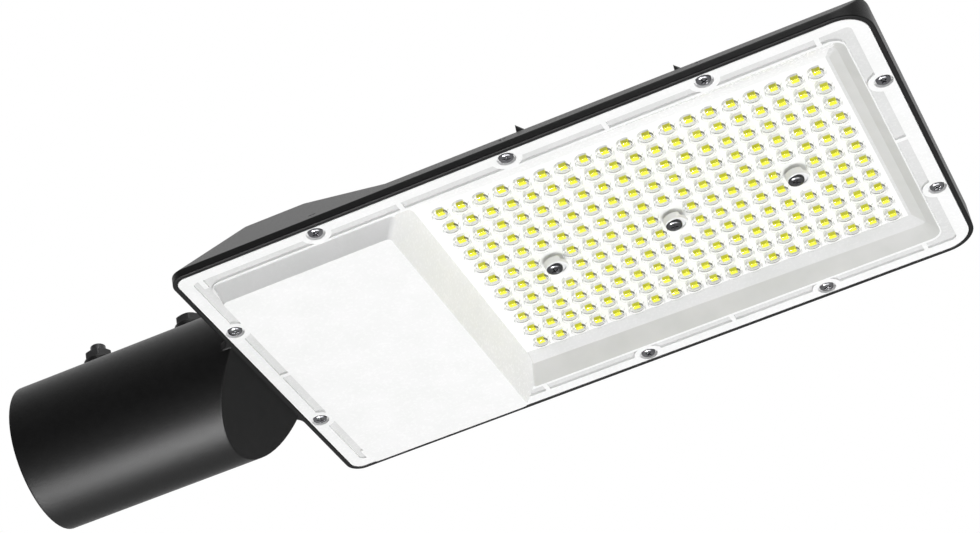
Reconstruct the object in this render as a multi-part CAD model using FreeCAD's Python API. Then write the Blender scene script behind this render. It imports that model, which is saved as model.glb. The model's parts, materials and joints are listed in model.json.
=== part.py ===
"""LED street light head: a die-cast housing on a pole spigot, closed from below by a clear moulded cover.

Units are millimetres. The origin is the centre of the spigot's mouth, on the spigot's axis.
+X runs from the pole to the tip of the head, +Z is up, and the light leaves downwards.
"""
import FreeCAD, Part
import math
import os
from FreeCAD import Vector

# Spigot that slides on the pole
SPIGOT_D = 76.0
SPIGOT_BORE_D = 66.0
BORE_DEPTH = 95.0
SPIGOT_REACH = 122.9            # from the mouth to the rim of the head
NOSE_SLOPE = 0.603              # run per drop of the oblique face under the spigot
CLAMP_BOLT_X = (34.0, 86.5)
CLAMP_BOLT_D = 8.0
CLAMP_BOLT_TOP = (53.9, 50.8)   # heights of the two bolt ends over the spigot's axis
CLAMP_BOSS_D = 16.0             # cast round seat under each nut
CLAMP_BOSS_TOP = 44.5
CLAMP_NUT_AF = 13.4
CLAMP_NUT_H = 6.5
CLAMP_NUT_TURN = (45.0, 52.0)   # how far each nut happens to be turned, degrees
CABLE_HOLE_D = 16.0
CABLE_HOLE_RISE = 14.0          # of the cable hole over the spigot's axis
CABLE_D = 10.0                  # mains cable that the grommet and the clamp are made for
POCKET_D = 56.0                 # cored out behind the bore's shoulder
WEB = 5.0                       # between the pocket and the driver compartment
COLLAR = 2.0

# Clear cover: flange, driver bulge and leaning lens plate in one moulding
RIM_DROP = 4.65                 # of the rim's plane below the spigot's axis
COVER_LENGTH = 341.8
COVER_WIDTH = 202.0
COVER_CORNER = 13.5             # at the tip
COVER_CORNER_FOOT = 5.5         # at the spigot end
FLANGE = 3.0
PLATE = 1.8                     # wall of the bulge and of the lens plate
LAND = 13.2                     # from the cover's edge to the bulge and to the recess
GROOVE_INSET = 6.2
GROOVE_INSET_TIP = 7.2
GROOVE_WIDTH = 5.4
GROOVE_DEPTH = 1.2
GROOVE_CORNER = 3.0
GROOVE_INNER_CORNER = 7.0
RIB_WIDTH = 2.4
RIB_PITCH = 102.6
RIB_FIRST = 10.6                # from the cover's spigot edge to the first rib
BULGE_DEPTH = 10.3
BULGE_LENGTH = 95.0             # along the rim's plane
BULGE_DRAFT_END = 3.2
BULGE_DRAFT_SIDE = 1.8
BULGE_CORNER = 2.5
SLANT = 0.452                   # run per rise of the wall between bulge and recess
RECESS_CORNER = 6.0

# Cover screws and their round pads
SCREW_EDGE = 5.0                # from the cover's edge to the screws
SIDE_SCREW_FIRST = 71.5         # from the cover's spigot edge
SIDE_SCREW_PITCH = 96.9
END_SCREW_SPREAD = 95.4
SCREW_D = 4.0
SCREW_HEAD_D = 7.2
SCREW_HEAD_H = 2.0
SCREW_LENGTH = 8.0
SCREW_SOCKET_D = 9.2
SCREW_SOCKET_DEPTH = 1.9
SCREW_PAD_D = 14.8

# Light emitting board: a grid of chips, some left out for the screws
COLUMNS = 19
ROWS = 11
GRID_SIDE = 36.7                # from the cover's long edges to the outer chip rows
GRID_FOOT = 14.83               # from the bulge's end to the first chip column
GRID_TIP = 31.03                # from the last chip column to the cover's edge at the tip
GRID_RISE = 8.3                 # of the lens plate's face over the rim's plane, at the grid's centre
LEAN = 0.98                     # degrees that the lens plate leans out of the rim's plane
SCREW_COLUMNS = (3, 9, 15)
SCREW_ROWS = (5, 6)             # the two rows whose chips give way to a board screw
LENS_X, LENS_Y, LENS_H = 6.4, 7.8, 2.0
LENS_TAPER = 0.7                # of the lens's top against its foot
LENS_SIDES = 6
CHIP = 2.9
CHIP_H = 0.35
CHIP_GAP = 0.4                  # from the lens plate's back to the board
BOARD = 1.2
BOARD_SIDE = 9.0                # board beyond the outer chip rows
BOARD_TIP = 9.9
BOARD_FOOT = 12.4
TONGUE_LENGTH = 10.5
TONGUE_WIDTH = 24.0
CONNECTOR_H = 4.7
PAD = 0.3
FLOOR_SIDE = 7.1                # lens plate's floor beyond the outer chip rows
FLOOR_TIP = 8.0
STEP_DEPTH = 2.0                # shallow band round the floor
STEP_SIDE = 8.4                 # from the recess's long edges to the shallow band
STEP_TIP = 4.63                 # and from its end at the tip
SCREW_BOSS_D = 12.5             # foot of the clear boss under each board screw
SCREW_BOSS_TOP_D = 11.0
SCREW_BOSS_H = 3.0
SCREW_BOSS_SOCKET_D = 9.0
BOARD_SCREW_SEAT = 2.1          # of the screw heads below the lens plate's face
BOARD_HEAD_D = 8.1
SCREW_GRIP = 5.0                # of thread in the casting

# Housing
LIP = 2.2                       # wall that stands round the cover
LIP_GAP = 0.3
WALL_RISE = 4.05                # of the upright wall over the rim's plane
SIDE_STEEP = 1.02               # rise per run of the sloping sides
WEB_R = 7.0                     # fillet between the spigot and the rim's end
WEB_SINK = 0.3                  # of that fillet into the tube's flank
FLOOR_THICK = 2.5               # of the heat sink's floor over the board
HUMP_TOP = 44.5                 # over the spigot's axis
HUMP_START = 20.1               # from the rim's edge to the hump's top
HUMP_LENGTH = 42.4
HUMP_RUN_TIP = 1.66             # run per drop of the hump's slope to the tip
HUMP_CORNER = 6.0
WALL = 3.0
CAVITY_INSET = 12.0             # from the cover's edge to the housing's cavity
FIN_COUNT = 13
FIN_PITCH = 12.0
FIN_THICK = 2.6
FIN_TOP = 24.0
FIN_END = 27.0                  # from the fins' ends to the rim's edge at the tip
FIN_FALL = 15.0
LUG_START = (174.1, 252.6)      # from the cover's spigot edge
LUG_LENGTH = 6.0
LUG_WIDTH = 4.0
LUG_RISE = 6.3
LUG_SIDE = 15.5                 # from the rim's long edge to the lugs' middle

# Seal, liner and tray behind the clear cover
GASKET = 1.5
GASKET_EDGE = 1.0
LINER = 0.9
SLIP = 0.25                     # between pieces that are laid into each other
FIT = 0.05                      # all round, between a threaded or pressed piece and its hole
TRAY = 1.6
TRAY_TOP = 6.6                  # of the tray's slanted wall over the spigot's axis
TRAY_TAB = 9.0
TRAY_POST_START = 24.6          # from the cover's spigot edge to the first posts
TRAY_POST_END = 11.6            # from the second posts to the bulge's end
TRAY_POST_SIDE = 25.0           # from the cover's long edges to the posts
TRAY_SCREW_LENGTH = 8.0
TRAY_POST_FOOT = -3.0

# Driver compartment
DRIVER_LENGTH = 36.0
DRIVER_HEIGHT = 25.0
DRIVER_SIDE = 49.0              # from the cover's long edges to the driver's ends
DRIVER_START = 26.6             # from the cover's spigot edge to the driver
DRIVER_TOP = 36.5
DRIVER_EAR = 9.0
DRIVER_EAR_T = 2.0
DRIVER_EAR_W = 10.0
DRIVER_SCREW_LENGTH = 6.0
POST_D = 8.0
SMALL_SCREW_D = 3.0
SMALL_HEAD_D = 6.0
SMALL_HEAD_H = 2.0
SURGE = (20.0, 36.0, 15.0)
SURGE_END = 36.6                # from the surge protector's start to the bulge's end
SURGE_TOP = 15.0
TERMINAL_SIZE = (14.0, 12.0)    # width and height
TERMINAL_START = 32.6           # from the cover's spigot edge to the terminal
TERMINAL_GAP = 5.0              # between the terminal and the surge protector
TERMINAL_TOP = 15.0
BLOCK_SIDE = 19.0               # from the cover's long edge to the terminal and the surge protector
TERMINAL_WAYS = 3
SADDLE_START = 15.6             # from the cover's spigot edge to the cable clamp
SADDLE = (9.0, 26.0)
STRAP_T = 3.0
EARTH_START = 19.6              # from the cover's spigot edge to the earth screw
EARTH_SIDE = 39.0               # from the cover's long edge
EARTH_FOOT = 9.0
EARTH_LUG_LENGTH = 13.0         # from the screw to the barrel's end
EARTH_LUG_T = 1.0
VENT_Y = 60.0
VENT_RISE = 13.0
VENT_D = 9.0
VENT_HEAD_D = 14.0
VENT_HEAD_T = 3.0
LEAD_D = 2.4
LEAD_IN = 2.0                   # of a lead inside the piece that it enters
LEAD_GAP = 0.5                  # where a slanted lead meets a flat side
LED_LEAD_SPREAD = 4.6

CUT_OVER = 40.0                 # by which a cutting form stands over what it cuts

# Derived places
RIM_Z = -RIM_DROP
COVER_X0 = SPIGOT_REACH + LIP + LIP_GAP
COVER_X1 = COVER_X0 + COVER_LENGTH
COVER_Y = COVER_WIDTH / 2
HEAD_X1 = COVER_X1 + LIP + LIP_GAP
HEAD_Y = COVER_Y + LIP + LIP_GAP
HEAD_CORNER = COVER_CORNER + LIP + LIP_GAP
HEAD_CORNER_FOOT = COVER_CORNER_FOOT + LIP + LIP_GAP
FLANGE_Z = RIM_Z + FLANGE
LEDGE_Z = FLANGE_Z + GASKET
WALL_TOP = RIM_Z + WALL_RISE
GRID_Z = RIM_Z + GRID_RISE
LAND_X0 = COVER_X0 + LAND
LAND_X1 = COVER_X1 - LAND
LAND_Y = COVER_Y - LAND
SLANT_X = LAND_X0 + BULGE_LENGTH
BULGE_Z = RIM_Z - BULGE_DEPTH
PITCH_X = (COVER_X1 - GRID_TIP - SLANT_X - GRID_FOOT) / (COLUMNS - 1)
PITCH_Y = (COVER_WIDTH - 2 * GRID_SIDE) / (ROWS - 1)
GRID_X = (COVER_X1 - GRID_TIP + SLANT_X + GRID_FOOT) / 2
FLOOR_Y = PITCH_Y * (ROWS - 1) / 2 + FLOOR_SIDE
FLOOR_X1 = GRID_X + PITCH_X * (COLUMNS - 1) / 2 + FLOOR_TIP
STEP_Y = LAND_Y - STEP_SIDE
STEP_X1 = LAND_X1 - STEP_TIP
BOARD_H = PLATE + CHIP_GAP
SEAT_H = BOARD_H + BOARD + PAD
DECK_H = SEAT_H + FLOOR_THICK
CAVITY_X0 = COVER_X0 + CAVITY_INSET
CAVITY_X1 = COVER_X1 - CAVITY_INSET
CAVITY_Y = COVER_Y - CAVITY_INSET
BOARD_X0 = GRID_X - PITCH_X * (COLUMNS - 1) / 2 - BOARD_FOOT
BOARD_X1 = GRID_X + PITCH_X * (COLUMNS - 1) / 2 + BOARD_TIP
BOARD_Y = PITCH_Y * (ROWS - 1) / 2 + BOARD_SIDE
HUMP_END_SLOPE = HUMP_START / (HUMP_TOP - WALL_TOP)
DRIVER = (DRIVER_LENGTH, COVER_WIDTH - 2 * DRIVER_SIDE, DRIVER_HEIGHT)
DRIVER_X = COVER_X0 + DRIVER_START
TRAY_POST_X = (COVER_X0 + TRAY_POST_START, SLANT_X - TRAY_POST_END)
TRAY_POST_Y = COVER_Y - TRAY_POST_SIDE
SURGE_X = SLANT_X - SURGE_END
SURGE_Y = BLOCK_SIDE - COVER_Y
TERMINAL_X = COVER_X0 + TERMINAL_START
TERMINAL = (SURGE_X - TERMINAL_GAP - TERMINAL_X, *TERMINAL_SIZE)
TERMINAL_Y = BLOCK_SIDE - COVER_Y
SADDLE_X = COVER_X0 + SADDLE_START
EARTH_X = COVER_X0 + EARTH_START
EARTH_Y = EARTH_SIDE - COVER_Y
VENT_FACE = SPIGOT_REACH + HUMP_END_SLOPE * (VENT_RISE + VENT_HEAD_D / 2 - WALL_TOP)


def box(x0, x1, y0, y1, z0, z1):
    return Part.makeBox(x1 - x0, y1 - y0, z1 - z0, Vector(x0, y0, z0))


def rod(x, y, z0, z1, diameter):
    return Part.makeCylinder(diameter / 2, z1 - z0, Vector(x, y, z0), Vector(0, 0, 1))


def rod_x(x0, x1, y, z, diameter):
    return Part.makeCylinder(diameter / 2, x1 - x0, Vector(x0, y, z), Vector(1, 0, 0))


def fuse(shapes):
    return shapes[0].fuse(shapes[1:]).removeSplitter() if len(shapes) > 1 else shapes[0]


def group(shapes):
    return Part.Compound(shapes)


def outline(x0, x1, half, z, corner, corner_x1=None):
    """Rounded rectangle at height z, symmetric about y = 0; the tip's corners may differ."""
    radii = (corner, corner_x1 or corner)
    edges = []
    points = []
    for x, sign_x, r in ((x1, -1, radii[1]), (x0, 1, radii[0])):
        for sign_y in ((-1, 1) if sign_x < 0 else (1, -1)):
            centre = Vector(x + sign_x * r, sign_y * (half - r), z)
            along_x = Vector(-sign_x * r, 0, 0)
            along_y = Vector(0, sign_y * r, 0)
            middle = centre + (along_x + along_y) * math.sqrt(0.5)
            first, last = centre + along_y, centre + along_x
            if sign_x * sign_y < 0:
                first, last = last, first
            points.append((first, middle, last))
    for i, (first, middle, last) in enumerate(points):
        edges.append(Part.Arc(first, middle, last).toShape())
        following = points[(i + 1) % len(points)][0]
        edges.append(Part.LineSegment(last, following).toShape())
    return Part.Wire(edges)


def slab(x0, x1, half, z0, z1, corner, corner_x1=None):
    return Part.Face(outline(x0, x1, half, z0, corner, corner_x1)).extrude(Vector(0, 0, z1 - z0))


def band(low, high):
    """Face between two like edges of neighbouring outlines: flat where it can be."""
    a, b = low.firstVertex(True).Point, low.lastVertex(True).Point
    c, d = high.lastVertex(True).Point, high.firstVertex(True).Point
    normal = (b - a).cross(d - a)
    straight = isinstance(low.Curve, Part.Line)
    if straight and abs(normal.normalize().dot(c - a)) < 1e-6:
        return Part.Face(Part.makePolygon([a, b, c, d, a]))
    return Part.makeRuledSurface(low, high)


def drafted(sections):
    """Solid through a stack of outlines, straight between one and the next."""
    faces = [Part.Face(sections[0]), Part.Face(sections[-1])]
    for low, high in zip(sections, sections[1:]):
        faces += [band(a, b) for a, b in zip(low.OrderedEdges, high.OrderedEdges)]
    skin = Part.Compound(faces)
    skin.sewShape(1e-5)
    solid = Part.Solid(Part.Shell(skin.Faces))
    if solid.Volume < 0:
        solid.reverse()
    return solid


def prism_y(points, half):
    """Side view outline in X and Z, run from -half to +half along Y."""
    corners = [Vector(x, -half, z) for x, z in points]
    face = Part.Face(Part.makePolygon(corners + corners[:1]))
    return face.extrude(Vector(0, 2 * half, 0))


def lean(shape):
    """Turns what was built level with the rim into the lens plate's leaning plane."""
    turned = shape.copy()
    turned.rotate(Vector(GRID_X, 0, GRID_Z), Vector(0, 1, 0), LEAN)
    return turned


def lean_z(x, h):
    """Height, at x, of the plane that lies h above the lens plate's face."""
    return GRID_Z + h + math.tan(math.radians(LEAN)) * (GRID_X - x)


def on_slant(h):
    """Where the slanted wall's face meets the leaning plane h, as built level before it leans."""
    s = math.sin(math.radians(LEAN))
    c = math.cos(math.radians(LEAN))
    run = SLANT_X - GRID_X + SLANT * (GRID_Z - RIM_Z) + h * (SLANT * c - s)
    return GRID_X + run / (c + SLANT * s)


def slant_x(z, back=0.0):
    """X of the slanted wall's face at height z, or of the plane that lies back behind it."""
    return SLANT_X + SLANT * (z - RIM_Z) - back * math.sqrt(1 + SLANT ** 2)


def led_places():
    """Column, row and level place of every lens and chip."""
    for column in range(COLUMNS):
        for row in range(ROWS):
            if column in SCREW_COLUMNS and row in SCREW_ROWS:
                continue
            yield (GRID_X + PITCH_X * (column - (COLUMNS - 1) / 2),
                   PITCH_Y * (row - (ROWS - 1) / 2))


def board_screw_places():
    y = PITCH_Y * (sum(SCREW_ROWS) / 2 - (ROWS - 1) / 2)
    return [(GRID_X + PITCH_X * (column - (COLUMNS - 1) / 2), y) for column in SCREW_COLUMNS]


def cover_screw_places():
    side_y = COVER_Y - SCREW_EDGE
    places = []
    for i in range(3):
        x = COVER_X0 + SIDE_SCREW_FIRST + i * SIDE_SCREW_PITCH
        places += [(x, -side_y), (x, side_y)]
    for x in (COVER_X0 + SCREW_EDGE, COVER_X1 - SCREW_EDGE):
        places += [(x, -END_SCREW_SPREAD / 2), (x, END_SCREW_SPREAD / 2)]
    return places


def flange_groove():
    """Shallow channel round the flange, broken by the screw pads and the cross ribs."""
    inner = GROOVE_INSET + GROOVE_WIDTH
    z0, z1 = RIM_Z - 1.0, RIM_Z + GROOVE_DEPTH
    channel = slab(COVER_X0 + GROOVE_INSET, COVER_X1 - GROOVE_INSET_TIP, COVER_Y - GROOVE_INSET,
                   z0, z1, GROOVE_CORNER)
    channel = channel.cut(slab(COVER_X0 + inner, COVER_X1 - GROOVE_INSET_TIP - GROOVE_WIDTH,
                               COVER_Y - inner, z0, z1, GROOVE_INNER_CORNER))
    keep = [rod(x, y, z0, z1, SCREW_PAD_D) for x, y in cover_screw_places()]
    for i in range(4):
        x = COVER_X0 + RIB_FIRST + i * RIB_PITCH
        for y0, y1 in ((-COVER_Y, -LAND_Y), (LAND_Y, COVER_Y)):
            keep.append(box(x - RIB_WIDTH / 2, x + RIB_WIDTH / 2, y0, y1, z0, z1))
    for x0, x1 in ((COVER_X0, LAND_X0), (LAND_X1, COVER_X1)):
        keep.append(box(x0, x1, -RIB_WIDTH / 2, RIB_WIDTH / 2, z0, z1))
    return channel.cut(keep)


def recess(rise, wider):
    """Hollow over the lens plate, or, with a rise and a width, the same form as its outer skin."""
    sections = []
    if rise == 0:
        sections.append(outline(SLANT_X - 2 * SLANT, LAND_X1, LAND_Y, RIM_Z - 2.0, 1.0, RECESS_CORNER))
    left = -4.0 if rise else 0.0
    sections.append(outline(SLANT_X + left, LAND_X1 + wider, LAND_Y + wider, RIM_Z + rise,
                            1.0, RECESS_CORNER))
    step, floor = rise - STEP_DEPTH, rise
    sections.append(lean(outline(on_slant(-STEP_DEPTH) + left, STEP_X1 + wider,
                                 STEP_Y + wider, GRID_Z + step, 1.0, RECESS_CORNER / 2)))
    sections.append(lean(outline(on_slant(0.0) + left, FLOOR_X1 + wider, FLOOR_Y + wider,
                                 GRID_Z + floor, 1.0, 1.5)))
    return drafted(sections)


def bulge(skin, z1):
    """Driver bulge as a solid: its outside when skin is 0, its hollow when skin is the wall."""
    z0 = BULGE_Z + skin
    rise = (z1 - BULGE_Z) / BULGE_DEPTH
    low = skin / BULGE_DEPTH
    corner = max(BULGE_CORNER - skin, 1.0)
    foot = outline(LAND_X0 + BULGE_DRAFT_END * (1 - low) + skin, slant_x(z0, skin),
                   LAND_Y - BULGE_DRAFT_SIDE * (1 - low) - skin, z0, corner)
    top = outline(LAND_X0 + BULGE_DRAFT_END * (1 - rise) + skin, slant_x(z1, skin),
                  LAND_Y - BULGE_DRAFT_SIDE * (1 - rise) - skin, z1, corner)
    return drafted([foot, top])


def faceted(rings):
    """Solid of flat faces through a stack of like rings of corners."""
    faces = [Part.Face(Part.makePolygon(ring + ring[:1])) for ring in (rings[0], rings[-1])]
    for low, high in zip(rings, rings[1:]):
        for i in range(len(low)):
            j = (i + 1) % len(low)
            faces.append(Part.Face(Part.makePolygon([low[i], low[j], high[j], high[i], low[i]])))
    skin = Part.Compound(faces)
    skin.sewShape(1e-6)
    solid = Part.Solid(Part.Shell(skin.Faces))
    if solid.Volume < 0:
        solid.reverse()
    return solid


def lens(x, y):
    """One lens: an oval dome with flat sides that narrow from its foot in the plate."""
    def ring(scale, h):
        corners = []
        for i in range(LENS_SIDES):
            a = math.radians(90 + 360 * i / LENS_SIDES)
            corners.append(Vector(x + scale * LENS_X / 2 * math.cos(a),
                                  y + scale * LENS_Y / 2 * math.sin(a), GRID_Z + h))
        return corners
    return lean(faceted([ring(1.0, PLATE / 3), ring(1.0, 0.0), ring(LENS_TAPER, -LENS_H)]))


def lens_cover():
    outside = fuse([slab(COVER_X0, COVER_X1, COVER_Y, RIM_Z, FLANGE_Z, COVER_CORNER_FOOT, COVER_CORNER),
                    bulge(0.0, RIM_Z + FLANGE / 2), recess(PLATE, 0.8)])
    low, high = FLANGE_Z, FLANGE_Z + CUT_OVER
    behind = prism_y([(slant_x(low, PLATE), low), (slant_x(high, PLATE), high),
                      (SLANT_X - CUT_OVER, high), (SLANT_X - CUT_OVER, low)], COVER_Y)
    cover = outside.cut([behind, bulge(PLATE, FLANGE_Z + 1.0), recess(0.0, 0.0), flange_groove()])
    holes = []
    for x, y in cover_screw_places():
        holes.append(rod(x, y, RIM_Z - 1, RIM_Z + SCREW_SOCKET_DEPTH, SCREW_SOCKET_D))
        holes.append(rod(x, y, RIM_Z, FLANGE_Z + 1, SCREW_D + 0.6))
    bosses = []
    for x, y in board_screw_places():
        seat = GRID_Z - BOARD_SCREW_SEAT
        bosses.append(lean(Part.makeCone(SCREW_BOSS_TOP_D / 2, SCREW_BOSS_D / 2, SCREW_BOSS_H,
                                         Vector(x, y, GRID_Z - SCREW_BOSS_H))))
        holes.append(lean(rod(x, y, GRID_Z - SCREW_BOSS_H - 1, seat, SCREW_BOSS_SOCKET_D)))
        holes.append(lean(rod(x, y, seat - 1, GRID_Z + PLATE + 1, SCREW_D + 0.6)))
    cover = cover.fuse(bosses).cut(holes)
    return cover.fuse([lens(x, y) for x, y in led_places()])


def screw(x, y, seat, head_d, head_h, diameter, length):
    """Pan-head screw driven upwards, with its head under the seat."""
    head = Part.makeCylinder(head_d / 2, head_h * 0.45, Vector(x, y, seat - head_h * 0.45))
    dome = Part.makeCone(head_d * 0.36, head_d / 2, head_h * 0.55, Vector(x, y, seat - head_h))
    return fuse([head, dome, rod(x, y, seat, seat + length, diameter)])


def cover_screws():
    seat = RIM_Z + SCREW_SOCKET_DEPTH
    return group([screw(x, y, seat, SCREW_HEAD_D, SCREW_HEAD_H, SCREW_D, SCREW_LENGTH)
                  for x, y in cover_screw_places()])


def board_screws():
    seat = GRID_Z - BOARD_SCREW_SEAT
    length = BOARD_SCREW_SEAT + SEAT_H + SCREW_GRIP
    return group([lean(screw(x, y, seat, BOARD_HEAD_D, SCREW_HEAD_H, SCREW_D, length))
                  for x, y in board_screw_places()])


def cover_gasket():
    """Flat silicone ring between the flange and the housing's ledge."""
    ring = slab(COVER_X0 + GASKET_EDGE, COVER_X1 - GASKET_EDGE, COVER_Y - GASKET_EDGE,
                FLANGE_Z, LEDGE_Z, COVER_CORNER_FOOT - GASKET_EDGE, COVER_CORNER - GASKET_EDGE)
    inner = CAVITY_INSET - SLIP
    ring = ring.cut(slab(COVER_X0 + inner, COVER_X1 - inner, COVER_Y - inner, FLANGE_Z - 1, LEDGE_Z + 1, 3.0))
    return ring.cut([rod(x, y, FLANGE_Z - 1, LEDGE_Z + 1, SCREW_D + 1.0) for x, y in cover_screw_places()])


def led_board():
    """Metal-core board with a tongue for the connector at its spigot end."""
    z0, z1 = GRID_Z + BOARD_H, GRID_Z + BOARD_H + BOARD
    plate = fuse([box(BOARD_X0, BOARD_X1, -BOARD_Y, BOARD_Y, z0, z1),
                  box(BOARD_X0 - TONGUE_LENGTH, BOARD_X0 + 1, -TONGUE_WIDTH / 2, TONGUE_WIDTH / 2, z0, z1)])
    plate = plate.cut([rod(x, y, z0 - 1, z1 + 1, SCREW_D + 0.4) for x, y in board_screw_places()])
    return lean(plate)


def led_chips():
    z0 = GRID_Z + BOARD_H - CHIP_H
    return group([lean(box(x - CHIP / 2, x + CHIP / 2, y - CHIP / 2, y + CHIP / 2, z0, z0 + CHIP_H))
                  for x, y in led_places()])


def thermal_pad():
    z0 = GRID_Z + BOARD_H + BOARD
    pad = box(BOARD_X0 + 1, BOARD_X1 - 1, 1 - BOARD_Y, BOARD_Y - 1, z0, z0 + PAD)
    return lean(pad.cut([rod(x, y, z0 - 1, z0 + PAD + 1, SCREW_D + 1.0) for x, y in board_screw_places()]))


def board_connector():
    """Two-way connector under the board's tongue."""
    x0 = BOARD_X0 - TONGUE_LENGTH + 1
    z1 = GRID_Z + BOARD_H
    body = box(x0, x0 + 6.0, -5.0, 5.0, z1 - CONNECTOR_H, z1)
    spare = 0.6
    ways = [box(x0 - 1, x0 + 4.0, y - 1.6, y + 1.6, z1 - CONNECTOR_H + spare, z1 - spare)
            for y in (-LED_LEAD_SPREAD / 2, LED_LEAD_SPREAD / 2)]
    return lean(body.cut(ways))


def bay_liner():
    """White frame that lies round the lens plate, behind the clear slopes."""
    reach = 0.8 + SLIP
    outer = [outline(SLANT_X + 9, LAND_X1 + reach + LINER, LAND_Y + reach + LINER, RIM_Z + PLATE + SLIP + LINER,
                     1.0, RECESS_CORNER),
             lean(outline(SLANT_X + 9, STEP_X1 + reach + LINER, STEP_Y + reach + LINER,
                          GRID_Z + PLATE - STEP_DEPTH + SLIP + LINER, 1.0, RECESS_CORNER / 2)),
             lean(outline(SLANT_X + 9, FLOOR_X1 + reach + LINER, FLOOR_Y + reach + LINER,
                          GRID_Z + PLATE + SLIP + LINER, 1.0, 1.5))]
    inner = [outline(SLANT_X, LAND_X1 + reach, LAND_Y + reach, RIM_Z + PLATE + SLIP, 1.0, RECESS_CORNER),
             lean(outline(SLANT_X, STEP_X1 + reach, STEP_Y + reach,
                          GRID_Z + PLATE - STEP_DEPTH + SLIP, 1.0, RECESS_CORNER / 2)),
             lean(outline(SLANT_X, FLOOR_X1 + reach, FLOOR_Y + reach, GRID_Z + PLATE + SLIP, 1.0, 1.5))]
    frame = drafted(outer).cut(drafted(inner))
    below = box(COVER_X0, COVER_X1, -COVER_Y, COVER_Y, RIM_Z - 5, FLANGE_Z)
    above = lean(box(COVER_X0, COVER_X1, -COVER_Y, COVER_Y, GRID_Z + BOARD_H - SLIP, GRID_Z + CUT_OVER))
    around = box(COVER_X0, COVER_X1, -COVER_Y, COVER_Y, RIM_Z, GRID_Z + CUT_OVER).cut(
        slab(CAVITY_X0, CAVITY_X1 - SLIP, CAVITY_Y - SLIP, RIM_Z, GRID_Z + CUT_OVER, 3.0))
    return frame.cut([below, above, around])


def driver_tray():
    """White tray in the bulge, screwed to the housing's posts, that hides the driver."""
    skin = PLATE + SLIP
    outer = bulge(skin, TRAY_TOP)
    inner = bulge(skin + TRAY, TRAY_TOP + 1)
    tray = outer.cut(inner)
    low_top = box(COVER_X0, slant_x(FLANGE_Z, skin + TRAY) - 0.5, -COVER_Y, COVER_Y, FLANGE_Z - SLIP, TRAY_TOP + 2)
    tray = tray.cut(low_top)
    half = LAND_Y - skin - TRAY / 2
    for y in (-TRAY_POST_Y, TRAY_POST_Y):
        for x in TRAY_POST_X:
            y0, y1 = (y - TRAY_TAB / 2, half) if y > 0 else (-half, y + TRAY_TAB / 2)
            tab = box(x - TRAY_TAB / 2, x + TRAY_TAB / 2, y0, y1, TRAY_POST_FOOT - TRAY, TRAY_POST_FOOT)
            tray = tray.fuse(tab)
    holes = [rod(x, y, BULGE_Z, TRAY_TOP, SMALL_SCREW_D + 0.4)
             for x in TRAY_POST_X for y in (-TRAY_POST_Y, TRAY_POST_Y)]
    return tray.cut([h.common(box(0, HEAD_X1, -HEAD_Y, HEAD_Y, BULGE_Z + skin + TRAY, TRAY_TOP)) for h in holes])


def tray_screws():
    return group([screw(x, y, TRAY_POST_FOOT - TRAY, SMALL_HEAD_D, SMALL_HEAD_H, SMALL_SCREW_D,
                        TRAY_SCREW_LENGTH)
                  for x in TRAY_POST_X for y in (-TRAY_POST_Y, TRAY_POST_Y)])


def side_y(z):
    """Half width of the housing at height z, where its sides slope."""
    return HEAD_Y - (z - WALL_TOP) / SIDE_STEEP


def hump(inset):
    """Roof over the driver, or with an inset the hollow under it."""
    z1 = HUMP_TOP - inset
    top_x0 = SPIGOT_REACH + HUMP_START
    top_x1 = top_x0 + HUMP_LENGTH
    end = inset * math.sqrt(1 + HUMP_END_SLOPE ** 2)
    tip = inset * math.sqrt(1 + HUMP_RUN_TIP ** 2)
    side = inset * math.sqrt(1 + 1 / SIDE_STEEP ** 2)
    drop = z1 - HUMP_TOP
    top = outline(top_x0 + HUMP_END_SLOPE * drop + end, top_x1 - HUMP_RUN_TIP * drop - tip,
                  side_y(z1) - side, z1, HUMP_CORNER)
    low = WALL_TOP - HUMP_TOP
    foot = outline(top_x0 + HUMP_END_SLOPE * low + end, top_x1 - HUMP_RUN_TIP * low - tip,
                   HEAD_Y - side, WALL_TOP, HEAD_CORNER_FOOT)
    return drafted([foot, top])


def deck():
    """Low part of the head: upright wall, sloping long sides and a top that leans with the board."""
    wall = slab(SPIGOT_REACH, HEAD_X1, HEAD_Y, RIM_Z, WALL_TOP, HEAD_CORNER_FOOT, HEAD_CORNER)
    x0 = SPIGOT_REACH + HUMP_START
    top = WALL_TOP + HUMP_START
    upright = slab(x0, HEAD_X1, HEAD_Y, WALL_TOP, top, 1.0, HEAD_CORNER)
    corners = [Vector(x0, y, z) for y, z in ((-HEAD_Y, WALL_TOP), (HEAD_Y, WALL_TOP),
                                             (side_y(top), top), (-side_y(top), top))]
    gable = Part.Face(Part.makePolygon(corners + corners[:1])).extrude(Vector(HEAD_X1 - x0, 0, 0))
    over = lean(box(0, HEAD_X1 + CUT_OVER, -HEAD_Y, HEAD_Y, GRID_Z + DECK_H, GRID_Z + DECK_H + CUT_OVER))
    return fuse([wall, upright.common(gable).cut(over)])


def webs():
    """Rounded fillets in plan between the spigot's flanks and the end of the rim."""
    made = []
    for sign in (-1, 1):
        y = sign * (SPIGOT_D / 2 - WEB_SINK)
        corner = Vector(SPIGOT_REACH, y, RIM_Z)
        first = corner - Vector(WEB_R, 0, 0)
        last = corner + Vector(0, sign * WEB_R, 0)
        centre = first + Vector(0, sign * WEB_R, 0)
        middle = centre + Vector(1, -sign, 0) * WEB_R * math.sqrt(0.5)
        wire = Part.Wire([Part.Arc(first, middle, last).toShape(), Part.LineSegment(last, corner).toShape(),
                          Part.LineSegment(corner, first).toShape()])
        made.append(Part.Face(wire).extrude(Vector(0, 0, WALL_RISE)))
    return made


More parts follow.
